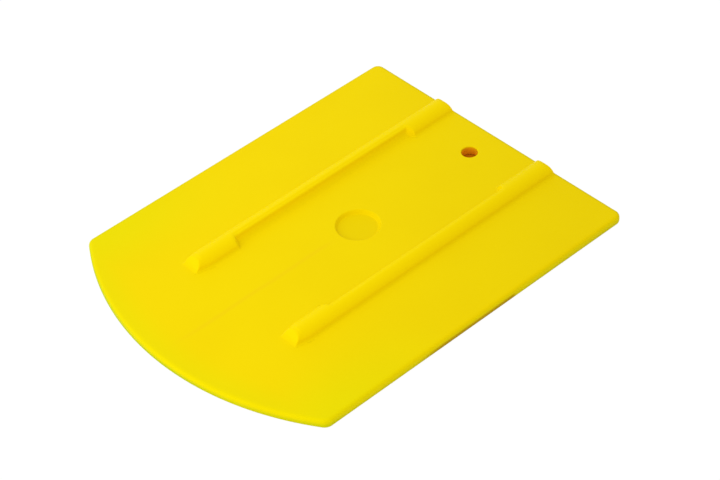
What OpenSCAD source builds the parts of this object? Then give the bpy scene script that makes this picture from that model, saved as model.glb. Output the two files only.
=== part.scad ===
// Squeegee applicator for pressing vinyl film onto a surface.
// A flat moulded blade carries two grip ribs on its upper face.
// The underside lies on Z = 0 and X = 0 is the centre line.
// The straight edge is at the rear (+Y) and the arched working edge is at the front (-Y).

/* [Blade] */
// Width across the two straight sides
blade_w = 100; // [80:1:110]
// Length from the crown of the arched edge to the straight edge
blade_l = 127; // [118:1:145]
// Thickness of the plate, whose edges are fully round
blade_t = 3; // [2:0.1:5]
// Radius of the arched front edge, seen from above
front_r = 88.5; // [85:0.5:200]
// Radius of the four corners, seen from above
corner_r = 3; // [2.8:0.1:12]

/* [Hang hole] */
// Diameter of the hang hole
hole_d = 4.8; // [3:0.1:8]
// Distance from the straight edge to the middle of the hole
hole_inset = 10.6; // [7:0.1:16]

/* [Dimple] */
// Diameter of the round dimple at its rim
dimple_d = 13.2; // [8:0.1:18]
// Width of the sloping wall between the rim and the flat floor
dimple_wall = 0.85; // [0.4:0.05:2.5]
// Depth of the dimple
dimple_depth = 0.8; // [0.3:0.05:1.2]
// Distance from the straight edge to the middle of the dimple
dimple_inset = 54.7; // [40:0.1:70]

/* [Grip ribs] */
// Distance between the middles of the two ribs
rib_spacing = 41; // [34:0.5:60]
// Width of a rib at its pads, without the root fillets
rib_w = 7.2; // [6:0.1:10]
// Height of a rib above the blade
rib_h = 2.75; // [2.4:0.05:2.9]
// Length of a rib along the blade
rib_l = 98.6; // [80:0.1:100]
// How far a rib reaches out over the rounding of the straight edge
rib_reach = 0.4; // [0:0.05:0.5]
// Radius of a rib's shoulders
shoulder_r = 1.9; // [1.2:0.05:2]
// Radius of the fillet where a rib meets the blade
root_r = 0.65; // [0.2:0.05:0.8]

/* [Relief of the ribs, on the inner side] */
// Length of the wide pad that is left at each end of a rib, at its foot
pad_l = 17.5; // [10:0.1:30]
// How far the foot of the relief lies inside the pads' feet
relief_d = 1.25; // [0.1:0.05:1.8]
// Radius of the hollow cove that slims a rib between its pads
cove_r = 2.2; // [1:0.05:3]
// Steepest slope of the cove, in degrees
cove_slope = 71; // [50:1:74]
// Radius of the round ridge above the cove
ridge_r = 1.25; // [0.5:0.05:1.5]
// Slope of the steps from the cove up to the pads, in degrees
step_slope = 60; // [40:1:75]
// Radius at the crest and at the foot of a step
step_r = 0.5; // [0.3:0.05:0.8]
// Turn of the steps, which makes the relief longer at its foot than at the ridge, in degrees
step_turn = 22; // [0:1:30]

/* [Ends of the ribs] */
// Slope of a rib's front end, in degrees
front_slope = 52; // [40:1:70]
// Radius at the crest of the front end
front_crest_r = 1.5; // [0.5:0.05:1.7]
// Radius at the foot of the front end
front_foot_r = 1.8; // [0.5:0.05:2]
// Slope of a rib's rear end, in degrees
rear_slope = 84; // [60:1:88]
// Radius at the crest of the rear end
rear_crest_r = 0.6; // [0.3:0.05:1]
// Radius at the foot of the rear end, which meets the blade almost sharply
rear_foot_r = 0.1; // [0.1:0.05:0.5]

/* [Hidden] */
$fn = 96;
plastic = [0.96, 0.84, 0.02];
// Growth of a rounding's radius, so that it crosses its neighbours instead of only touching them
grow = 0.01;
// Height of the small step at the foot of a fillet
lip = 0.02;
// Room by which cutting shapes stand past the surfaces that they cut
past = 1;
edge_r = blade_t / 2 + grow;
rear_y = blade_l / 2;
// Middle of the front arch, and of the corners at the sides
arch_y = front_r - rear_y;
corner_x = blade_w / 2 - corner_r;
front_corner_y = arch_y - sqrt(pow(front_r - corner_r, 2) - pow(corner_x, 2));
rear_corner_y = rear_y - corner_r;
// Direction from a front corner's middle to the end of the arch, off -Y
arch_half = asin(corner_x / (front_r - corner_r));
// Ends of a rib, whose rear foot hides the first of the rear edge's rounding
rib_rear_y = rear_y - edge_r + rib_reach;
rib_front_y = rib_rear_y - rib_l;
// Crown and shoulders of a rib's section, about the middle of its foot
shoulder_x = rib_w / 2 - shoulder_r;
crown_r = (pow(shoulder_x, 2) + pow(rib_h, 2) - pow(shoulder_r, 2)) / (2 * (rib_h - shoulder_r));
crown_z = rib_h - crown_r;
// Height of a root fillet's middle, and how far the pads' feet stand off the rib's middle
root_z = fillet_z(root_r);
pad_foot_x = shoulder_x + sqrt(pow(shoulder_r + root_r, 2) - pow(root_z, 2));
// Foot of the cove, off the rib's middle
cove_foot_x = pad_foot_x - relief_d;

// Height above the blade of the middle of a fillet with the radius r
function fillet_z(r) = r + grow + lip;

// Steepest slope at which a wall's round crest still lies above its round foot
function slope_limit(crest_r, foot_r) = acos(max(-1, 1 - (rib_h - 4 * lip) / (crest_r + foot_r)));

// Section of the plate from start out to reach, where it ends fully round
module edge_section(start, reach) {
    translate([start, -past]) square([reach - edge_r - start, blade_t + 2 * past]);
    translate([reach - edge_r, blade_t / 2]) circle(edge_r);
}

// Everything behind a straight edge that faces +X
module behind_straight(reach) {
    rotate([90, 0, 0]) linear_extrude(2 * blade_l, center = true) edge_section(-blade_l, reach);
}

// Everything behind an edge that runs round the Z axis
module behind_round(reach) {
    rotate_extrude() intersection() {
        edge_section(0, reach);
        translate([0, -past]) square([reach, blade_t + 2 * past]);
    }
}

// What a round corner at the origin takes off, between +X and a turn from it in degrees
module corner_cut(turn) {
    reach = 2 * corner_r;
    difference() {
        translate([0, 0, -past / 2]) linear_extrude(blade_t + past) polygon([
            [0, 0], [reach, 0], [reach, reach], [reach * cos(turn), reach * sin(turn)]
        ]);
        behind_round(corner_r + grow);
    }
}

module blade() {
    color(plastic) difference() {
        intersection() {
            linear_extrude(blade_t) square(2 * blade_l, center = true);
            translate([0, arch_y, 0]) behind_round(front_r);
            behind_straight(blade_w / 2);
            mirror([1, 0, 0]) behind_straight(blade_w / 2);
            rotate(90) behind_straight(rear_y);
        }
        for (side = [0, 1]) mirror([side, 0, 0]) {
            translate([corner_x, rear_corner_y, 0]) corner_cut(90);
            translate([corner_x, front_corner_y, 0]) mirror([0, 1, 0]) corner_cut(90 - arch_half);
        }
        translate([0, rear_y - hole_inset, -past]) cylinder(d = hole_d, h = blade_t + 2 * past);
        translate([0, rear_y - dimple_inset, blade_t - dimple_depth]) cylinder(
            d1 = dimple_d - 2 * dimple_wall, d2 = dimple_d + 2 * dimple_wall, h = 2 * dimple_depth
        );
    }
}

// Fillet at the foot of a shoulder whose middle is at the origin
module root_fillet() {
    foot = pad_foot_x - shoulder_x;
    difference() {
        polygon([[0, 0], [foot, 0], [foot, root_z]]);
        translate([foot, root_z]) circle(root_r + grow);
    }
}

// Section of a rib at its pads: a wide crown, round shoulders and filleted feet
module pad_section() {
    // The crown lies inside a wedge through the middles of the shoulders, drawn this many times longer
    wedge = 4;
    intersection() {
        translate([-rib_w, 0]) square([2 * rib_w, 2 * rib_h]);
        union() {
            intersection() {
                translate([0, crown_z]) circle(crown_r);
                translate([0, crown_z]) polygon([
                    [0, 0], [wedge * shoulder_x, -wedge * crown_z], [-wedge * shoulder_x, -wedge * crown_z]
                ]);
            }
            for (side = [0, 1]) mirror([side, 0]) translate([shoulder_x, 0]) {
                circle(shoulder_r);
                root_fillet();
            }
        }
    }
}

// What is cut away in front of a sloping wall whose filleted foot is at the origin.
// The wall rises along +X, hollow at its foot, and rounds over into the crown at its crest.
module wall_cut(slope, crest_r, foot_r) {
    lean = min(slope, slope_limit(crest_r, foot_r));
    foot = [foot_r * sin(lean), fillet_z(foot_r) - foot_r * cos(lean)];
    rise = rib_h - crest_r * (1 - cos(lean)) - foot[1];
    brow = foot + [rise / tan(lean), rise];
    crest_x = brow[0] + crest_r * sin(lean);
    difference() {
        union() {
            polygon([
                [-rib_l, -past], [0, -past], [0, fillet_z(foot_r)], foot, brow,
                [crest_x, rib_h], [crest_x, rib_h + past], [-rib_l, rib_h + past]
            ]);
            translate([0, fillet_z(foot_r)]) circle(foot_r + grow);
        }
        translate([crest_x, rib_h - crest_r]) circle(crest_r + grow);
    }
}

// A shape drawn in Y and Z, drawn out across a rib
module across() {
    rotate([90, 0, 90]) linear_extrude(2 * rib_l, center = true) children();
}

// A shape drawn in X and Z, drawn out along a rib
module along() {
    translate([0, rib_rear_y, 0]) rotate([90, 0, 0]) linear_extrude(rib_l) children();
}

// What slims the rib on its +X side, between its pads.
// The cove's foot stands a little higher than the feet of the steps, so that they cross.
module relief() {
    intersection() {
        translate([cove_foot_x, rib_front_y + pad_l, 0]) rotate(-step_turn) across()
            mirror([1, 0]) wall_cut(step_slope, step_r, step_r);
        translate([cove_foot_x, rib_rear_y - pad_l, 0]) rotate(step_turn) across()
            wall_cut(step_slope, step_r, step_r);
        along() translate([cove_foot_x, lip]) mirror([1, 0]) wall_cut(cove_slope, ridge_r, cove_r);
    }
}

// A rib about its own middle line, standing on Z = 0
module rib() {
    difference() {
        along() pad_section();
        across() translate([rib_front_y, 0]) wall_cut(front_slope, front_crest_r, front_foot_r);
        across() translate([rib_rear_y, 0]) mirror([1, 0]) wall_cut(rear_slope, rear_crest_r, rear_foot_r);
        relief();
    }
}

module left_rib() {
    color(plastic) translate([-rib_spacing / 2, 0, blade_t]) rib();
}

module right_rib() {
    color(plastic) translate([rib_spacing / 2, 0, blade_t]) mirror([1, 0, 0]) rib();
}

blade();
left_rib();
right_rib();
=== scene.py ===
"""Looks of a moulded squeegee applicator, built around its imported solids."""
import math

import bpy
import numpy as np
from mathutils import Matrix, Vector
from mathutils.geometry import delaunay_2d_cdt


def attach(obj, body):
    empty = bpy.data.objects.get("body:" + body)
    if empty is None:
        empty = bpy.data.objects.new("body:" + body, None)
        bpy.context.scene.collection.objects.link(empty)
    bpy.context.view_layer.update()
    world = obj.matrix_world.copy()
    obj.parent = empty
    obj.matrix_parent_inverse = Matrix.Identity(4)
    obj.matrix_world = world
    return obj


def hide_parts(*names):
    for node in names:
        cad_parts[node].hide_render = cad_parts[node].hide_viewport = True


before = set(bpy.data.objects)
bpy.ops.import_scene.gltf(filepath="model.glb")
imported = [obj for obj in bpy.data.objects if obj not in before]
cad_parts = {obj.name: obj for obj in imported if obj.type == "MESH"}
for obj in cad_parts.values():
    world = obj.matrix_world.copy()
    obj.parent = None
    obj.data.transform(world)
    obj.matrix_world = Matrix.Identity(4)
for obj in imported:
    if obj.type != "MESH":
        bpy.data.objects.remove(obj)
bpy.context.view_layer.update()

# Sizes and places are in millimetres. The underside is Z = 0 and X = 0 is the centre line.
# The straight edge is at the rear (+Y) and the arched edge is at the front (-Y).
MM = 0.001

# Blade: width, length, thickness, and the radii of its arch and corners, seen from above
BLADE_W, BLADE_L, BLADE_T = 100.0, 127.0, 3.0
FRONT_R, FRONT_CORNER_R, REAR_CORNER_R = 88.5, 3.0, 2.4
HALF_W, HALF_L = BLADE_W / 2, BLADE_L / 2
ARCH_Y = FRONT_R - HALF_L
# Edge: half its height, how far it keeps inside the solid, and the fullness of its section.
# A fullness of 1 is a half circle, and less is squarer.
EDGE_R, SKIN, EDGE_FULLNESS = BLADE_T / 2, 0.02, 0.66
# Where the plate's top starts to round over at the straight edge
FLAT_END_Y = HALF_L - EDGE_R
# Hang hole, and the radius of its soft rims
HOLE_Y, HOLE_R, HOLE_LIP = 52.9, 2.4, 0.3
# Dimple: its wall slopes from the floor's radius up to the rim's
DIMPLE_Y, DIMPLE_FLOOR_R, DIMPLE_RIM_R, DIMPLE_DEPTH = 8.9, 5.75, 6.5, 1.1
# How far the wall's rings reach into floor and rim, and half the width of its blends as a share of its own
DIMPLE_BLEND, DIMPLE_SOFT = 0.25, 0.22

# Grip ribs: distance from the centre line, width, height, and how far both stand off to the right
RIB_X, RIB_W, RIB_H, RIB_SHIFT = 20.5, 7.2, 2.6, 0.35
# Ends of a rib and of the relief on its inner side, along Y
RIB_FRONT_Y, STEP_FRONT_Y, STEP_REAR_Y, RIB_REAR_Y = -36.2, -17.5, 43.7, 62.6
# Section of a rib: a wide crown, round shoulders and filleted roots
SHOULDER_R, ROOT_R = 1.9, 1.1
SHOULDER_X = RIB_W / 2 - SHOULDER_R
CROWN_R = (SHOULDER_X ** 2 + RIB_H ** 2 - SHOULDER_R ** 2) / (2 * (RIB_H - SHOULDER_R))
CROWN_Z = RIB_H - CROWN_R
FOOT_X = SHOULDER_X + math.sqrt((SHOULDER_R + ROOT_R) ** 2 - ROOT_R ** 2)
# Where the crown and the shoulder end, from the middle of the section out
CROWN_END = CROWN_R * SHOULDER_X / math.hypot(SHOULDER_X, CROWN_Z)
SHOULDER_END = SHOULDER_X + SHOULDER_R * (FOOT_X - SHOULDER_X) / (SHOULDER_R + ROOT_R)
# Sloping walls: slope in degrees, radius over the crest, radius at the foot
FRONT_WALL = (52.0, 1.5, 1.8)
REAR_WALL = (84.0, 0.7, 0.1)
STEP_WALL = (58.0, 0.4, 0.4)
COVE_WALL = (78.0, 0.9, 2.0)
# Foot of the cove that slims a rib on its inner side, from the rib's middle
COVE_FOOT = 3.04
# Turn of the steps in plan, as a share of the distance from the rib's middle
STEP_SKEW = 0.75
# Length over which a rib narrows to its front end, where its section is 1 + NOSE times narrower
NOSE_L, NOSE = 7.0, 0.5
# Sharpness of the edges between a rib's surfaces, and the rise of a wall past its crest
SHARPNESS, FREE_RISE = 10.0, 2.0
# Depth of a rib's hidden foot in the plate, the least height that counts as rib, and a length near zero
SKIRT, LEAST_HEIGHT, TINY = 0.05, 1e-4, 1e-6

# Fineness of the blade: points along the outline's stretches and round openings, and steps over roundings
ARCH_POINTS, FRONT_CORNER_POINTS, REAR_CORNER_POINTS, SIDE_POINTS, REAR_POINTS = 96, 12, 16, 28, 26
EDGE_STEPS = 28
HOLE_POINTS, HOLE_LIP_STEPS, HOLE_WALL_STEPS = 64, 8, 4
DIMPLE_POINTS, DIMPLE_WALL_STEPS = 96, 18
# Rings on the dimple's floor, as shares of its radius
DIMPLE_FLOOR_RINGS = (0.75, 0.5, 0.25)
# Width of the narrow flat ring beside each rounding, and spacing of the grid on the flat faces beyond.
# The grid keeps clear of the outline and of openings by these shares of its spacing.
GUARD, GRID, OUTLINE_ROOM, OPENING_ROOM = 0.15, 4.0, 0.7, 0.49

# Fineness of a rib across: points on crown and flanks, steps over roundings, least gap
CROWN_POINTS, FLANK_POINTS, ROUND_STEPS, COVE_STEPS, COLUMN_GAP = 17, 30, 8, 12, 0.04
# Fineness of a rib along: steps over its ends, points over the plate's rounding, gaps between rows
FRONT_STEPS, REAR_STEPS, OVERHANG_POINTS = 10, 8, 6
STEP_ROW, NOSE_ROW, PLAIN_ROW, ROW_GAP = 0.1, 0.4, 4.0, 0.012
# Room behind a step that its fine rows cover
STEP_ROOM = 3.2
# Extra points behind the crest of a wall, by distance from it
CREST_POINTS = (0.12, 0.3, 0.6)

# Colours: the pigment, its darker and lighter mottling, the flow line, a painted highlight on the ribs'
# raised skin, and painted orange bounce light and shade on the hole's wall
BASE = (0.885, 0.672, 0.0008)
BASE_DEEP = (0.872, 0.656, 0.0008)
BASE_LIGHT = (0.900, 0.690, 0.0012)
FLOW = (0.87, 0.62, 0.004)
# Painted highlight on the ribs' tops
RIB_TOP_HIGHLIGHT = (0.929, 0.704, 0.0008)
# Painted bounce light and shade: the orange of light reflected within the hole
HOLE = (0.87, 0.38, 0.004)
# Tints that darken or shift the colour below them
# Painted shade: the light's falloff towards the rear right
FALLOFF_SHADE = (0.885, 0.885, 1.0)
LEMON = (0.92, 1.045, 1.0)
# Painted shade on the edge's lower side, and on the left and rear edges
EDGE_SHADE = (0.82, 0.90, 1.0)
# Painted shade, dark brown, under a stretch of the right edge
SLIVER_SHADE = (0.70, 0.53, 1.0)
# Painted shade that tones down the edge's lit rounding
RIM_SHADE = (0.86, 0.94, 1.0)
# Painted shade in the dimple's recess
RECESS_SHADE = (0.945, 0.94, 1.0)

# Noise in the plastic: scale per metre, detail, roughness
MOTTLE_NOISE = (38.0, 3.0, 0.5)
SPECKLE_NOISE = (1400.0, 2.0, 0.5)
WAVER_NOISE = (60.0, 2.0, 0.5)
GLOSS_NOISE = (170.0, 4.0, 0.6)
GRAIN_NOISE = (2600.0, 3.0, 0.5)
WAVE_NOISE = (55.0, 2.0, 0.5)
# Middle of the noise values, those between which mottling and speckle set in, and the speckle's strength
NOISE_MIDDLE = 0.5
MOTTLE = (0.35, 0.75)
SPECKLE = (0.52, 0.80)
SPECKLE_SHARE = 0.35
# Finish: range of the roughness, index of refraction, and a weak yellow sheen
ROUGHNESS = (0.40, 0.56)
IOR = 1.49
SHEEN = 0.03
SHEEN_TINT = (1.0, 0.80, 0.01)
# Strength and depth of the mould's fine grain and of the skin's slow waviness
GRAIN = (0.10, 0.05)
WAVE = (0.15, 0.2)

# Marks, painted shade and painted highlights on the plastic. A pair says where a mark sets in and where it
# is full, along an axis or a radius.
# Painted shade on the edge stops short of the underside.
ABOVE_UNDERSIDE = (0.0, 0.2)
# Flow line: its half width, its ends along Y, how far it wavers, and its strength
FLOW_WIDTH = (1.1, 0.1)
FLOW_FRONT = (-62.0, -45.0)
FLOW_REAR = (1.6, -6.0)
FLOW_WAVER = 1.6
FLOW_SHARE = 0.6
# Painted highlight on the ribs' raised skin, lighter towards their tops
RIB_TOP_HIGHLIGHT_Z = (BLADE_T, BLADE_T + 1.2)
# Painted shade grows towards the rear right corner, by this share of X plus Y
FALLOFF_SHADE_SHARE = 0.7
FALLOFF_SHADE_SLANT = (-30.0, 90.0)
# Paler yellow in the front corners, along the arch and on the edge.
# The edge is whatever lies below the top, well off the dimple.
PALE_X = (26.0, 50.0)
PALE_Y = (5.0, -45.0)
PALE_ARCH = (78.0, FRONT_R)
PALE_ARCH_SHARE = 0.75
EDGE_Z = (BLADE_T, 2.2)
EDGE_OFF_DIMPLE = (15.0, 20.0)
PALE_EDGE_SHARE = 0.8
# Painted shade on the edge's lower half, less of it at the arch's right end, and all over the left and rear
# edges
EDGE_SHADE_Z = (1.9, 1.0)
ARCH_FRONT = (-40.0, -47.0)
ARCH_RIGHT = (0.0, 30.0)
ARCH_LESS_SHADE = 0.4
EDGE_SHADE_LEFT = (-48.7, -49.5)
EDGE_SHADE_REAR = (62.2, 63.0)
EDGE_SHADE_FAR_SHARE = 0.9
# Painted shade on a stretch of the right edge's lower side
SLIVER_SHADE_X = (48.0, 48.6)
SLIVER_SHADE_Z = (2.3, 1.4)
SLIVER_SHADE_FRONT = (-18.0, -6.0)
SLIVER_SHADE_REAR = (21.2, 19.4)
# Painted shade that darkens the edge's rounding: more of it to the left, along the arch, and again at the
# arch's left end
RIM_SHADE_LEFT = (20.0, -40.0)
RIM_SHADE_ARCH_Z = (2.5, 1.4)
RIM_SHADE_ARCH_LEFT = (30.0, 0.0)
RIM_SHADE_END_X = (0.0, -40.0)
RIM_SHADE_END_Z = (2.97, 2.4)
# Painted shade on the dimple's floor, and painted orange bounce light and shade on the hole's wall
RECESS_SHADE_R = (DIMPLE_FLOOR_R + 0.1, DIMPLE_FLOOR_R - 0.5)
HOLE_WALL_R = (HOLE_R + 0.25, HOLE_R + 0.02)
HOLE_WALL_Z = (BLADE_T, 2.2)

# Floor: half its width, its height, its colour, and the strength and share of its white look
FLOOR_SIZE = 3000.0
FLOOR_Z = -0.1
FLOOR_COLOUR = (0.93, 0.92, 0.90)
FLOOR_WHITE = 1.03
FLOOR_WHITE_SHARE = 0.95
# Patch of the floor that stands for the shade under the hole: its colour and radius
HOLE_FLOOR = (0.60, 0.21, 0.004)
HOLE_FLOOR_R = 8.0
# Dome: its level, and the directions in which green and blue light, and red light, grow stronger
DOME = 0.82
DOME_LEAN = (-0.20, -0.28, 0.25)
DOME_LEAN_RED = (-0.11, -0.28, 0.25)
# Key light: place and aim, width and height, and power in watts
KEY_PLACE = (-50.0, -400.0, 280.0)
KEY_AIM = (0.0, -20.0, 0.0)
KEY_SIZE = (500.0, 300.0)
KEY_POWER = 0.35
# Camera: azimuth, elevation and roll in degrees, the point it looks at and its distance from there
CAMERA_TURN = (49.728, 41.943, -3.86)
CAMERA_AIM = (2.524, 7.107, 0.0)
CAMERA_RANGE = 636.002
# Focal length and width of the photograph in pixels, width of the sensor, and clipping distances in metres
FOCAL_PIXELS = 2275.245
PHOTO_PIXELS = 720
SENSOR_W = 36.0
CLIP = (0.01, 20)


# Meshes

def make_object(name, verts, faces, sharp=()):
    """A smooth mesh object from vertices in millimetres. Edges named in sharp keep a crease."""
    mesh = bpy.data.meshes.new(name)
    mesh.from_pydata([tuple(c * MM for c in v) for v in verts], [], faces)
    mesh.validate()
    mesh.polygons.foreach_set("use_smooth", [True] * len(mesh.polygons))
    wanted = {tuple(sorted(e)) for e in sharp}
    for edge in mesh.edges:
        if tuple(sorted(edge.vertices)) in wanted:
            edge.use_edge_sharp = True
    mesh.update()
    obj = bpy.data.objects.new(name, mesh)
    bpy.context.scene.collection.objects.link(obj)
    return obj


def arc_points(centre, radius, start, end, count):
    """Points and outward normals along an arc, in degrees, without its last point."""
    made = []
    for k in range(count):
        a = math.radians(start + (end - start) * k / count)
        n = (math.cos(a), math.sin(a))
        made.append(((centre[0] + radius * n[0], centre[1] + radius * n[1]), n))
    return made


def line_points(a, b, normal, count):
    """Points and their normal along a straight edge, without its last point."""
    made = []
    for k in range(count):
        x = a[0] + (b[0] - a[0]) * k / count
        y = a[1] + (b[1] - a[1]) * k / count
        made.append(((x, y), normal))
    return made


def blade_outline():
    """The plate's outline, seen from above and counted anticlockwise."""
    front_x = HALF_W - FRONT_CORNER_R
    rear_x, rear_y = HALF_W - REAR_CORNER_R, HALF_L - REAR_CORNER_R
    reach = FRONT_R - FRONT_CORNER_R
    front_y = ARCH_Y - math.sqrt(reach ** 2 - front_x ** 2)
    arch = math.degrees(math.asin(front_x / reach))
    return (
        arc_points((0, ARCH_Y), FRONT_R, -90 - arch, -90 + arch, ARCH_POINTS)
        + arc_points((front_x, front_y), FRONT_CORNER_R, -90 + arch, 0, FRONT_CORNER_POINTS)
        + line_points((HALF_W, front_y), (HALF_W, rear_y), (1, 0), SIDE_POINTS)
        + arc_points((rear_x, rear_y), REAR_CORNER_R, 0, 90, REAR_CORNER_POINTS)
        + line_points((rear_x, HALF_L), (-rear_x, HALF_L), (0, 1), REAR_POINTS)
        + arc_points((-rear_x, rear_y), REAR_CORNER_R, 90, 180, REAR_CORNER_POINTS)
        + line_points((-HALF_W, rear_y), (-HALF_W, front_y), (-1, 0), SIDE_POINTS)
        + arc_points((-front_x, front_y), FRONT_CORNER_R, 180, 270 - arch, FRONT_CORNER_POINTS)
    )


def inside(outline, point):
    """Whether a point is inside a convex anticlockwise outline."""
    a, b = outline, np.roll(outline, -1, 0)
    d, p = b - a, point - a
    return bool((d[:, 0] * p[:, 1] - d[:, 1] * p[:, 0] > 0).all())


class Surface:
    """Vertices and faces that are put together from rings."""

    def __init__(self):
        self.verts, self.faces = [], []

    def add(self, points):
        """New vertices, given back by number."""
        start = len(self.verts)
        self.verts += points
        return list(range(start, start + len(points)))

    def ring(self, middle_y, radius, z, count):
        """A level ring about a point on the centre line, anticlockwise."""
        angles = [2 * math.pi * k / count for k in range(count)]
        return self.add([(radius * math.cos(a), middle_y + radius * math.sin(a), z) for a in angles])

    def join(self, outer, inner):
        """A band of quads from one ring to the next, which lies inside it seen from outside the body."""
        n = len(outer)
        for k in range(n):
            m = (k + 1) % n
            self.faces.append((outer[k], outer[m], inner[m], inner[k]))

    def flat_grid(self, loops):
        """Grid points on the flat face between the first loop and the round openings in it."""
        outline, *openings = [np.array([self.verts[i][:2] for i in loop]) for loop in loops]
        circles = [(opening.mean(0), np.ptp(opening[:, 0]) / 2) for opening in openings]
        z = self.verts[loops[0][0]][2]
        start, end = outline.min(0) + GRID / 2, outline.max(0)
        made = []
        for y in np.arange(start[1], end[1], GRID):
            for x in np.arange(start[0], end[0], GRID):
                p = np.array([x, y])
                if np.linalg.norm(outline - p, axis=1).min() < OUTLINE_ROOM * GRID or not inside(outline, p):
                    continue
                if any(math.dist(p, middle) < radius + OPENING_ROOM * GRID for middle, radius in circles):
                    continue
                made.append((x, y, z))
        return made

    def fill(self, loops, up):
        """A flat face between the first loop and the round openings in it, of even triangles."""
        edges = []
        for loop in loops:
            start, n = len(edges), len(loop)
            edges += [(start + k, start + (k + 1) % n) for k in range(n)]
        ids = [i for loop in loops for i in loop] + self.add(self.flat_grid(loops))
        flat = [Vector(self.verts[i][:2]) for i in ids]
        # The outline is convex, so triangles over the whole hull are asked for
        whole_hull, closeness = 0, 1e-9
        _, _, triangles, source, _, _ = delaunay_2d_cdt(flat, edges, [], whole_hull, closeness)
        openings = [set(loop) for loop in loops[1:]]
        for triangle in triangles:
            corners = [ids[source[v][0]] for v in triangle]
            if any(opening.issuperset(corners) for opening in openings):
                continue
            a, b, c = (self.verts[i] for i in corners)
            turn = (b[0] - a[0]) * (c[1] - a[1]) - (b[1] - a[1]) * (c[0] - a[0])
            self.faces.append(tuple(corners) if (turn > 0) == up else tuple(reversed(corners)))


# Blade

def add_edge(surface):
    """The plate's rounded edge. Its lowest and highest ring bound the flat faces."""
    line = blade_outline()

    def edge_ring(inset, z):
        back = inset + SKIN
        return surface.add([(p[0] - n[0] * back, p[1] - n[1] * back, z) for p, n in line])

    rings = [edge_ring(EDGE_R + GUARD, 0.0)]
    for k in range(EDGE_STEPS + 1):
        a = math.radians(-90 + 180 * k / EDGE_STEPS)
        out = abs(math.cos(a)) ** EDGE_FULLNESS
        up = math.copysign(abs(math.sin(a)) ** EDGE_FULLNESS, math.sin(a))
        rings.append(edge_ring(EDGE_R * (1 - out), EDGE_R * (1 + up)))
    rings.append(edge_ring(EDGE_R + GUARD, BLADE_T))
    for low, high in zip(rings, rings[1:]):
        surface.join(low, high)
    return rings[0], rings[-1]


def add_hole(surface):
    """The hang hole: a straight wall between two soft rims, which end in rings on the flat faces."""
    turns = [math.radians(90 * k / HOLE_LIP_STEPS) for k in range(HOLE_LIP_STEPS + 1)]
    wall = BLADE_T - 2 * HOLE_LIP
    section = [(HOLE_LIP + GUARD, 0.0)]
    section += [(HOLE_LIP * (1 - math.sin(a)), HOLE_LIP * (1 - math.cos(a))) for a in turns]
    section += [(0.0, HOLE_LIP + wall * k / HOLE_WALL_STEPS) for k in range(1, HOLE_WALL_STEPS)]
    section += [(HOLE_LIP * (1 - math.cos(a)), BLADE_T - HOLE_LIP * (1 - math.sin(a))) for a in turns]
    section += [(HOLE_LIP + GUARD, BLADE_T)]
    rings = [surface.ring(HOLE_Y, HOLE_R + wider, z, HOLE_POINTS) for wider, z in section]
    for low, high in zip(rings, rings[1:]):
        surface.join(high, low)
    return rings[0], rings[-1]


def dimple_height(radius):
    """Height of the dimple's wall over the blade's top, below zero, with both of its edges blended."""
    share = (radius - DIMPLE_FLOOR_R) / (DIMPLE_RIM_R - DIMPLE_FLOOR_R)

    def ramp(x):
        """Zero, then a straight rise, with a parabola between them."""
        if x < -DIMPLE_SOFT:
            return 0.0
        if x < DIMPLE_SOFT:
            return (x + DIMPLE_SOFT) ** 2 / (4 * DIMPLE_SOFT)
        return x

    return DIMPLE_DEPTH * (ramp(share) - ramp(share - 1) - 1)


def add_dimple(surface):
    """The round dimple: a soft rim, a sloping wall and a flat floor. Its first ring lies in the top face."""
    rim, floor = DIMPLE_RIM_R + DIMPLE_BLEND, DIMPLE_FLOOR_R - DIMPLE_BLEND
    floor_z = BLADE_T - DIMPLE_DEPTH
    section = [(rim + GUARD, BLADE_T)]
    for k in range(DIMPLE_WALL_STEPS + 1):
        r = rim + (floor - rim) * k / DIMPLE_WALL_STEPS
        section.append((r, BLADE_T + dimple_height(r)))
    section.append((floor - GUARD, floor_z))
    section += [(share * floor, floor_z) for share in DIMPLE_FLOOR_RINGS]
    rings = [surface.ring(DIMPLE_Y, r, z, DIMPLE_POINTS) for r, z in section]
    for outer, inner in zip(rings, rings[1:]):
        surface.join(outer, inner)
    last, tip = rings[-1], surface.add([(0, DIMPLE_Y, floor_z)])[0]
    surface.faces += [(last[k], last[(k + 1) % DIMPLE_POINTS], tip) for k in range(DIMPLE_POINTS)]
    return rings[0]


def make_blade():
    """The plate: a rounded edge, a hole with softened rims and a shallow dimple."""
    surface = Surface()
    low_edge, high_edge = add_edge(surface)
    low_hole, high_hole = add_hole(surface)
    dimple = add_dimple(surface)
    surface.fill([high_edge, high_hole, dimple], True)
    surface.fill([low_edge, low_hole], False)
    return make_object("blade_plate", surface.verts, surface.faces)


# Ribs

def pad_height(u):
    """Height of the full section at a distance u from its middle."""
    u = np.abs(u)
    crown = CROWN_Z + np.sqrt(np.maximum(CROWN_R ** 2 - u ** 2, 0))
    shoulder = np.sqrt(np.maximum(SHOULDER_R ** 2 - (u - SHOULDER_X) ** 2, 0))
    fillet = ROOT_R - np.sqrt(np.maximum(ROOT_R ** 2 - (FOOT_X - np.minimum(u, FOOT_X)) ** 2, 0))
    return np.where(u < CROWN_END, crown, np.where(u < SHOULDER_END, shoulder, fillet))


def wall_marks(slope, crest_r, foot_r):
    """Foot, its height, brow and crest of a sloping wall, by distance from its filleted foot."""
    a = math.radians(slope)
    foot, foot_z = foot_r * math.sin(a), foot_r * (1 - math.cos(a))
    rise = RIB_H - crest_r * (1 - math.cos(a)) - foot_z
    brow = foot + rise / math.tan(a)
    return foot, foot_z, brow, brow + crest_r * math.sin(a)


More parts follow.
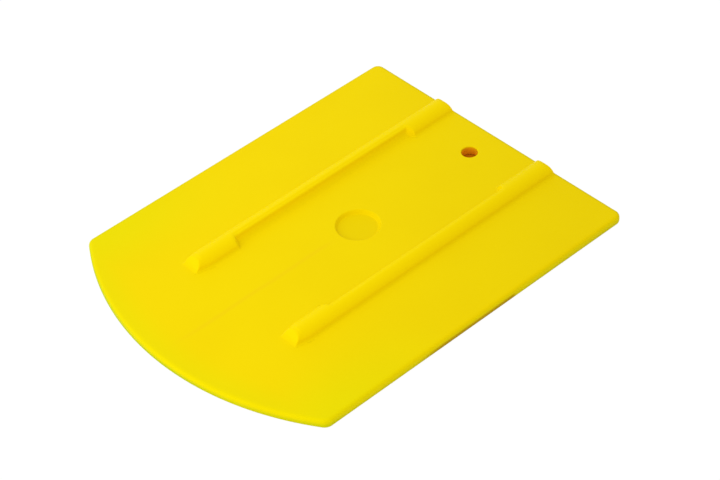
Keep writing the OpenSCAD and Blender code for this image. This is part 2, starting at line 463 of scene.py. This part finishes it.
def wall_height(s, wall):
    """Height that a sloping wall allows at a distance s in from its foot, with no limit past its crest."""
    slope, crest_r, foot_r = wall
    foot, foot_z, brow, crest = wall_marks(*wall)
    fillet = foot_r - np.sqrt(np.maximum(foot_r ** 2 - np.clip(s, 0, foot_r) ** 2, 0))
    ramp = foot_z + (s - foot) * math.tan(math.radians(slope))
    over = RIB_H - crest_r + np.sqrt(np.maximum(crest_r ** 2 - (crest - s) ** 2, 0))
    free = RIB_H + FREE_RISE * (s - crest)
    return np.where(s < foot, fillet, np.where(s < brow, ramp, np.where(s < crest, over, free)))


def soft_min(*heights):
    """The least of some heights, with the edges between them rounded over."""
    return sum(np.maximum(h, TINY) ** -SHARPNESS for h in heights) ** (-1 / SHARPNESS)


def soft_max(*heights):
    """The greatest of some heights, with the corners between them filled."""
    return sum(np.maximum(h, TINY) ** SHARPNESS for h in heights) ** (1 / SHARPNESS)


def rib_height(u, y):
    """Height of a rib above the blade. u runs from the outer side to the inner side."""
    nose = np.clip((RIB_FRONT_Y + NOSE_L - y) / NOSE_L, 0, 1)
    narrow = u * (1 + NOSE * nose ** 2)
    skew = STEP_SKEW * u
    relief_front, relief_rear = STEP_FRONT_Y - skew, STEP_REAR_Y + skew
    front = wall_height(y - RIB_FRONT_Y, FRONT_WALL)
    rear = wall_height(RIB_REAR_Y - y, REAR_WALL)
    cove = wall_height(COVE_FOOT - u, COVE_WALL)
    front_pad = wall_height(relief_front - y, STEP_WALL)
    rear_pad = wall_height(y - relief_rear, STEP_WALL)
    height = soft_min(pad_height(narrow), front, rear, soft_max(cove, front_pad, rear_pad))
    outside = (np.abs(narrow) >= FOOT_X - TINY) | (y <= RIB_FRONT_Y + TINY) | (y >= RIB_REAR_Y - TINY)
    relief = (u >= COVE_FOOT - TINY) & (y >= relief_front - TINY) & (y <= relief_rear + TINY)
    return np.where(outside | relief, 0.0, height)


def plate_drop(y):
    """How far the plate's top has rounded down at y, near the straight edge."""
    power = 2 / EDGE_FULLNESS
    share = np.clip((y - FLAT_END_Y) / EDGE_R, 0, 1)
    return EDGE_R * (1 - (1 - share ** power) ** (1 / power))


def arc_steps(radius, start, end, count):
    """Distances along one axis at even steps of an arc, from start to end degrees."""
    turns = [math.radians(start + (end - start) * k / count) for k in range(count + 1)]
    return [radius * math.sin(a) for a in turns]


def arc_end(distance, radius):
    """Degrees at which an arc has come this far along one axis."""
    return math.degrees(math.asin(distance / radius))


def wall_steps(wall, count):
    """Distances from a wall's foot at which its curve needs points."""
    slope, crest_r, foot_r = wall
    foot, _, brow, crest = wall_marks(*wall)
    made = arc_steps(foot_r, 0, slope, count)
    made += list(np.linspace(foot, brow, count + 1))
    made += [crest - x for x in arc_steps(crest_r, 0, slope, count)]
    made += [crest + x for x in CREST_POINTS]
    return made


def thin(values, least):
    """Sorted values without near repeats."""
    kept = []
    for v in sorted(values):
        if not kept or v - kept[-1] > least:
            kept.append(v)
    return np.array(kept)


def rib_columns():
    """Distances from a rib's middle at which its skin has points."""
    shoulder_start = arc_end(CROWN_END - SHOULDER_X, SHOULDER_R)
    shoulder_end = arc_end(SHOULDER_END - SHOULDER_X, SHOULDER_R)
    root_end = arc_end(FOOT_X - SHOULDER_END, ROOT_R)
    half = list(np.linspace(0, CROWN_END, CROWN_POINTS))
    half += [SHOULDER_X + x for x in arc_steps(SHOULDER_R, shoulder_start, shoulder_end, ROUND_STEPS)]
    half += [FOOT_X - x for x in arc_steps(ROOT_R, 0, root_end, ROUND_STEPS)]
    half += list(np.linspace(SHOULDER_X, FOOT_X, FLANK_POINTS))
    cove = [COVE_FOOT - x for x in wall_steps(COVE_WALL, COVE_STEPS)]
    return thin([-x for x in half] + half + cove, COLUMN_GAP)


def rib_rows():
    """Places along a rib at which its skin has points."""
    room = STEP_SKEW * COVE_FOOT + STEP_ROOM
    rows = [RIB_FRONT_Y + x for x in wall_steps(FRONT_WALL, FRONT_STEPS)]
    rows += [RIB_REAR_Y - x for x in wall_steps(REAR_WALL, REAR_STEPS)]
    rows += list(np.arange(STEP_FRONT_Y - room, STEP_FRONT_Y + STEP_ROW, STEP_ROW))
    rows += list(np.arange(STEP_REAR_Y - STEP_ROW, STEP_REAR_Y + room, STEP_ROW))
    rows += list(np.linspace(FLAT_END_Y, RIB_REAR_Y, OVERHANG_POINTS))
    rows += list(np.arange(RIB_FRONT_Y, RIB_FRONT_Y + NOSE_L, NOSE_ROW))
    rows += list(np.arange(RIB_FRONT_Y, RIB_REAR_Y, PLAIN_ROW))
    return thin(rows, ROW_GAP)


def make_rib(name, side):
    """A rib as a closed skin over its foot. side is -1 for the left and 1 for the right."""
    us, ys = rib_columns(), rib_rows()
    heights = rib_height(*np.meshgrid(us, ys))
    drops = plate_drop(ys)
    solid = heights > LEAST_HEIGHT
    heights = np.where(solid, heights, -drops[:, None])
    keep = solid[:-1, :-1] | solid[1:, :-1] | solid[:-1, 1:] | solid[1:, 1:]
    verts, faces, sharp, number = [], [], [], {}

    def vertex(j, i, low):
        if (j, i, low) not in number:
            number[j, i, low] = len(verts)
            rise = -SKIRT - drops[j] if low else heights[j, i]
            verts.append((RIB_SHIFT + side * (RIB_X - us[i]), ys[j], BLADE_T + rise))
        return number[j, i, low]

    def face(*corners):
        faces.append(corners if side < 0 else tuple(reversed(corners)))

    rows, cols = keep.shape
    for j, i in np.argwhere(keep):
        around = ((j, i), (j, i + 1), (j + 1, i + 1), (j + 1, i))
        face(*(vertex(*c, False) for c in around))
        face(*(vertex(*c, True) for c in reversed(around)))
        for n, (dj, di) in enumerate(((-1, 0), (0, 1), (1, 0), (0, -1))):
            a, b = j + dj, i + di
            if 0 <= a < rows and 0 <= b < cols and keep[a, b]:
                continue
            p, q = around[n], around[(n + 1) % len(around)]
            top = (vertex(*p, False), vertex(*q, False))
            low = (vertex(*p, True), vertex(*q, True))
            face(top[1], top[0], low[0], low[1])
            sharp += [top, low]
    return make_object(name, verts, faces, sharp)


# Materials

class Nodes:
    """A node tree, with short ways to add nodes to it."""

    def __init__(self, tree):
        self.tree = tree

    def new(self, kind, **settings):
        """A new node with some settings."""
        made = self.tree.nodes.new(kind)
        for key, value in settings.items():
            setattr(made, key, value)
        return made

    def feed(self, socket, value):
        """Give a socket the output of another node, or a constant. A colour gets its fourth value."""
        if isinstance(value, bpy.types.NodeSocket):
            self.tree.links.new(value, socket)
        elif socket.type == "RGBA":
            socket.default_value = (*value, 1.0)
        else:
            socket.default_value = value

    def calc(self, operation, a, b=0.0):
        """One step of arithmetic."""
        made = self.new("ShaderNodeMath", operation=operation)
        self.feed(made.inputs[0], a)
        self.feed(made.inputs[1], b)
        return made.outputs[0]

    def times(self, first, *others):
        """Product of some values."""
        for other in others:
            first = self.calc("MULTIPLY", first, other)
        return first

    def most(self, first, *others):
        """Greatest of some values."""
        for other in others:
            first = self.calc("MAXIMUM", first, other)
        return first

    def fade(self, value, start, end):
        """A smooth rise from 0 where the value is at start to 1 where it is at end."""
        made = self.new("ShaderNodeMapRange", interpolation_type="SMOOTHSTEP")
        self.feed(made.inputs["Value"], value)
        self.feed(made.inputs["From Min"], start)
        self.feed(made.inputs["From Max"], end)
        return made.outputs["Result"]

    def measure(self, operation, a, b):
        """A number from two vectors, such as their distance."""
        made = self.new("ShaderNodeVectorMath", operation=operation)
        self.feed(made.inputs[0], a)
        self.feed(made.inputs[1], b)
        return made.outputs["Value"]

    def mix_shaders(self, share, first, second):
        """The first shader, with a share of the second."""
        made = self.new("ShaderNodeMixShader")
        for socket, value in zip(made.inputs, (share, first, second)):
            self.feed(socket, value)
        return made.outputs[0]

    def finish(self, shader):
        """Make a shader the surface of the material."""
        self.feed(self.new("ShaderNodeOutputMaterial").inputs["Surface"], shader)


def new_material(name):
    """A material without nodes."""
    material = bpy.data.materials.new(name)
    material.use_nodes = True
    material.node_tree.nodes.clear()
    return material


class Plastic(Nodes):
    """The plastic's colour, painted in layers that are placed on the object in millimetres."""

    def __init__(self, tree):
        super().__init__(tree)
        self.place = self.new("ShaderNodeTexCoord").outputs["Object"]
        split = self.new("ShaderNodeSeparateXYZ")
        self.feed(split.inputs[0], self.place)
        self.x, self.y, self.z = [self.times(metres, 1 / MM) for metres in split.outputs]
        self.above = self.fade(self.z, *ABOVE_UNDERSIDE)
        self.off_dimple = self.distance(DIMPLE_Y)
        self.edge = self.times(
            self.fade(self.z, *EDGE_Z), self.fade(self.off_dimple, *EDGE_OFF_DIMPLE), self.above
        )
        self.colour = BASE

    def noise(self, scale, detail, rough):
        """Noise values over the object."""
        made = self.new("ShaderNodeTexNoise")
        self.feed(made.inputs["Vector"], self.place)
        self.feed(made.inputs["Scale"], scale)
        self.feed(made.inputs["Detail"], detail)
        self.feed(made.inputs["Roughness"], rough)
        return made.outputs["Fac"]

    def distance(self, middle_y):
        """Distance from a point on the centre line, seen from above."""
        offset = self.calc("SUBTRACT", self.y, middle_y)
        squares = self.calc("ADD", self.times(self.x, self.x), self.times(offset, offset))
        return self.calc("SQRT", squares)

    def paint(self, colour, mask, blend="MIX"):
        """Lay a colour over the layers below."""
        made = self.new("ShaderNodeMix", data_type="RGBA", blend_type=blend)
        below, over = [socket for socket in made.inputs if socket.type == "RGBA"]
        self.feed(made.inputs["Factor"], mask)
        self.feed(below, self.colour)
        self.feed(over, colour)
        self.colour = [socket for socket in made.outputs if socket.type == "RGBA"][0]

    def tint(self, colour, mask):
        """Multiply the layers below by a colour."""
        self.paint(colour, mask, "MULTIPLY")

    def pigment_and_rib_highlight(self):
        """Broad mottling, a fine speckle, the flow line, and a painted highlight that makes the ribs' raised
        skin lighter.
        """
        self.paint(BASE_DEEP, self.fade(self.noise(*MOTTLE_NOISE), *MOTTLE))
        speckle = self.fade(self.noise(*SPECKLE_NOISE), *SPECKLE)
        self.paint(BASE_LIGHT, self.times(speckle, SPECKLE_SHARE))

        # Flow line: where the plastic met, from the dimple to the crown of the arched edge
        waver = self.times(self.calc("SUBTRACT", self.noise(*WAVER_NOISE), NOISE_MIDDLE), FLOW_WAVER)
        across = self.calc("ABSOLUTE", self.calc("ADD", self.x, waver))
        along = self.times(self.fade(self.y, *FLOW_FRONT), self.fade(self.y, *FLOW_REAR))
        self.paint(FLOW, self.times(self.fade(across, *FLOW_WIDTH), along, FLOW_SHARE))
        # Painted highlight: the ribs' raised skin is painted lighter towards its top
        self.paint(RIB_TOP_HIGHLIGHT, self.fade(self.z, *RIB_TOP_HIGHLIGHT_Z))

    def falloff_shade_and_pale_tint(self):
        """Painted shade that grows towards the rear right corner, and a paler yellow at the front and on the
        edge.
        """
        slant = self.calc("ADD", self.times(self.x, FALLOFF_SHADE_SHARE), self.times(self.y, FALLOFF_SHADE_SHARE))
        # Painted shade: darker towards the rear right corner, where less light falls
        self.tint(FALLOFF_SHADE, self.fade(slant, *FALLOFF_SHADE_SLANT))
        off_middle = self.calc("ABSOLUTE", self.x)
        corners = self.times(self.fade(off_middle, *PALE_X), self.fade(self.y, *PALE_Y))
        arch = self.times(self.fade(self.distance(ARCH_Y), *PALE_ARCH), PALE_ARCH_SHARE)
        self.tint(LEMON, self.most(corners, arch, self.times(self.edge, PALE_EDGE_SHARE)))

    def paint_edge_shade(self):
        """Painted shade on the edge: on its lower half near the floor, on a stretch of the right side, and
        over its rounding towards the left and along the arch.
        """
        x, y, z = self.x, self.y, self.z
        arch = self.times(self.fade(y, *ARCH_FRONT), self.above)
        less_shade = self.times(arch, self.fade(x, *ARCH_RIGHT), ARCH_LESS_SHADE)
        low_shade = self.times(self.fade(z, *EDGE_SHADE_Z), self.above, self.calc("SUBTRACT", 1.0, less_shade))
        far_sides = self.most(self.fade(x, *EDGE_SHADE_LEFT), self.fade(y, *EDGE_SHADE_REAR))
        # Painted shade: the edge's lower half, near the floor, and the far left and rear edges are darkened
        self.tint(EDGE_SHADE, self.most(low_shade, self.times(far_sides, EDGE_SHADE_FAR_SHARE)))

        # Painted shade: a dark brown sliver on the lower side of a stretch of the right edge
        stretch = self.times(self.fade(y, *SLIVER_SHADE_FRONT), self.fade(y, *SLIVER_SHADE_REAR))
        self.tint(SLIVER_SHADE, self.times(self.fade(z, *SLIVER_SHADE_Z), self.fade(x, *SLIVER_SHADE_X), stretch))

        # Painted shade: the edge's rounding is darkened where it catches more light
        left = self.times(self.edge, self.fade(x, *RIM_SHADE_LEFT))
        arch_edge = self.times(arch, self.fade(z, *RIM_SHADE_ARCH_Z))
        self.tint(RIM_SHADE, self.most(left, arch_edge))
        self.tint(RIM_SHADE, self.times(arch_edge, self.fade(x, *RIM_SHADE_ARCH_LEFT)))
        self.tint(RIM_SHADE, self.times(arch, self.fade(x, *RIM_SHADE_END_X), self.fade(z, *RIM_SHADE_END_Z)))

    def openings(self):
        """Painted shade on the dimple's floor, and painted orange bounce light and shade on the hole's wall.
        """
        # Painted shade: the dimple's floor is darkened as its recess takes less light
        self.tint(RECESS_SHADE, self.times(self.fade(self.off_dimple, *RECESS_SHADE_R), self.above))
        # Painted bounce light and shade: the hole's wall is painted orange, as light reflected in the hole
        # would tint it
        wall = self.fade(self.distance(HOLE_Y), *HOLE_WALL_R)
        self.paint(HOLE, self.times(wall, self.fade(self.z, *HOLE_WALL_Z)))

    def bump(self, height, strength, depth, below=None):
        """Normals of a rough skin, over those of another one."""
        made = self.new("ShaderNodeBump")
        self.feed(made.inputs["Height"], height)
        self.feed(made.inputs["Strength"], strength)
        self.feed(made.inputs["Distance"], depth * MM)
        if below is not None:
            self.feed(made.inputs["Normal"], below)
        return made.outputs[0]


def plastic_material(name):
    """Satin moulded plastic, with painted shade and highlights and the flow line in its colour, and the
    mould's grain on its skin.
    """
    material = new_material(name)
    plastic = Plastic(material.node_tree)
    plastic.pigment_and_rib_highlight()
    plastic.falloff_shade_and_pale_tint()
    plastic.paint_edge_shade()
    plastic.openings()
    rough = plastic.new("ShaderNodeMapRange")
    plastic.feed(rough.inputs["Value"], plastic.noise(*GLOSS_NOISE))
    plastic.feed(rough.inputs["To Min"], ROUGHNESS[0])
    plastic.feed(rough.inputs["To Max"], ROUGHNESS[1])
    grain = plastic.bump(plastic.noise(*GRAIN_NOISE), *GRAIN)
    shader = plastic.new("ShaderNodeBsdfPrincipled")
    for key, value in (
        ("Base Color", plastic.colour),
        ("Roughness", rough.outputs["Result"]),
        ("IOR", IOR),
        ("Specular IOR Level", SHEEN),
        ("Specular Tint", SHEEN_TINT),
        ("Normal", plastic.bump(plastic.noise(*WAVE_NOISE), *WAVE, grain)),
    ):
        plastic.feed(shader.inputs[key], value)
    plastic.finish(shader.outputs[0])
    return material


def floor_material():
    """A pale floor that looks white and still takes a soft shadow, with a patch of shade under the hole."""
    material = new_material("floor_white")
    nodes = Nodes(material.node_tree)

    def diffuse(colour):
        made = nodes.new("ShaderNodeBsdfDiffuse")
        nodes.feed(made.inputs["Color"], colour)
        return made.outputs[0]

    white = nodes.new("ShaderNodeEmission")
    nodes.feed(white.inputs["Color"], (1.0, 1.0, 1.0))
    nodes.feed(white.inputs["Strength"], FLOOR_WHITE)
    path = nodes.new("ShaderNodeLightPath").outputs
    seen = nodes.most(path["Is Camera Ray"], path["Is Glossy Ray"], path["Is Transmission Ray"])
    place = nodes.new("ShaderNodeTexCoord").outputs["Object"]
    off_hole = nodes.measure("DISTANCE", place, (0.0, HOLE_Y * MM, 0.0))
    clear = nodes.calc("GREATER_THAN", off_hole, HOLE_FLOOR_R * MM)
    ground = nodes.mix_shaders(clear, diffuse(HOLE_FLOOR), diffuse(FLOOR_COLOUR))
    nodes.finish(nodes.mix_shaders(nodes.times(seen, clear, FLOOR_WHITE_SHARE), ground, white.outputs[0]))
    return material


# Stage

def make_floor():
    """A level floor just under the object."""
    corners = ((-1, -1), (1, -1), (1, 1), (-1, 1))
    mesh = bpy.data.meshes.new("floor")
    mesh.from_pydata(
        [(x * FLOOR_SIZE * MM, y * FLOOR_SIZE * MM, FLOOR_Z * MM) for x, y in corners], [], [(0, 1, 2, 3)]
    )
    mesh.materials.append(floor_material())
    floor = bpy.data.objects.new("floor", mesh)
    bpy.context.scene.collection.objects.link(floor)


def make_world():
    """A dome of light that is stronger from above, the front and the left, and warmer on the right."""
    world = bpy.data.worlds.new("studio")
    world.use_nodes = True
    nodes = Nodes(world.node_tree)
    place = nodes.new("ShaderNodeTexCoord").outputs["Generated"]
    colour = nodes.new("ShaderNodeCombineColor")
    for channel, lean in (("Red", DOME_LEAN_RED), ("Green", DOME_LEAN), ("Blue", DOME_LEAN)):
        level = nodes.calc("ADD", nodes.measure("DOT_PRODUCT", place, lean), DOME)
        nodes.feed(colour.inputs[channel], level)
    nodes.feed(world.node_tree.nodes["Background"].inputs["Color"], colour.outputs[0])
    bpy.context.scene.world = world


def make_key():
    """A weak area light over the front."""
    data = bpy.data.lights.new("key", "AREA")
    data.shape = "RECTANGLE"
    data.size, data.size_y = (side * MM for side in KEY_SIZE)
    data.energy = KEY_POWER
    key = bpy.data.objects.new("key", data)
    key.location = Vector(KEY_PLACE) * MM
    key.rotation_mode = "QUATERNION"
    key.rotation_quaternion = (Vector(KEY_AIM) - Vector(KEY_PLACE)).to_track_quat("-Z", "Y")
    bpy.context.scene.collection.objects.link(key)


def make_camera():
    """The photograph's view: a long lens from above the right front corner."""
    azimuth, elevation, roll = (math.radians(a) for a in CAMERA_TURN)
    level = math.cos(elevation)
    back = Vector((math.sin(azimuth) * level, -math.cos(azimuth) * level, math.sin(elevation)))
    right = (-back).cross(Vector((0, 0, 1))).normalized()
    down = (-back).cross(right)
    c, s = math.cos(roll), math.sin(roll)
    image_right, image_down = right * c - down * s, right * s + down * c
    data = bpy.data.cameras.new("camera")
    data.sensor_width = SENSOR_W
    data.lens = FOCAL_PIXELS / PHOTO_PIXELS * SENSOR_W
    data.clip_start, data.clip_end = CLIP
    camera = bpy.data.objects.new("camera", data)
    bpy.context.scene.collection.objects.link(camera)
    place = Vector(CAMERA_AIM) * MM + back * (CAMERA_RANGE * MM)
    turn = Matrix((image_right, -image_down, back)).transposed()
    camera.matrix_world = Matrix.Translation(place) @ turn.to_4x4()
    bpy.context.scene.camera = camera


# Scene

blade = make_blade()
left = make_rib("left_grip_rib", -1)
right = make_rib("right_grip_rib", 1)
blade.data.materials.append(plastic_material("blade_moulded_plastic"))
rib_material = plastic_material("rib_moulded_plastic")
for rib in (left, right):
    rib.data.materials.append(rib_material)
for piece, node, slot in (
    (blade, "blade", "blade_plastic"),
    (left, "left_rib", "rib_plastic"),
    (right, "right_rib", "rib_plastic"),
):
    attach(piece, "root")
    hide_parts(node)

make_floor()
make_world()
make_key()
make_camera()
bpy.context.scene.view_settings.view_transform = "Standard"
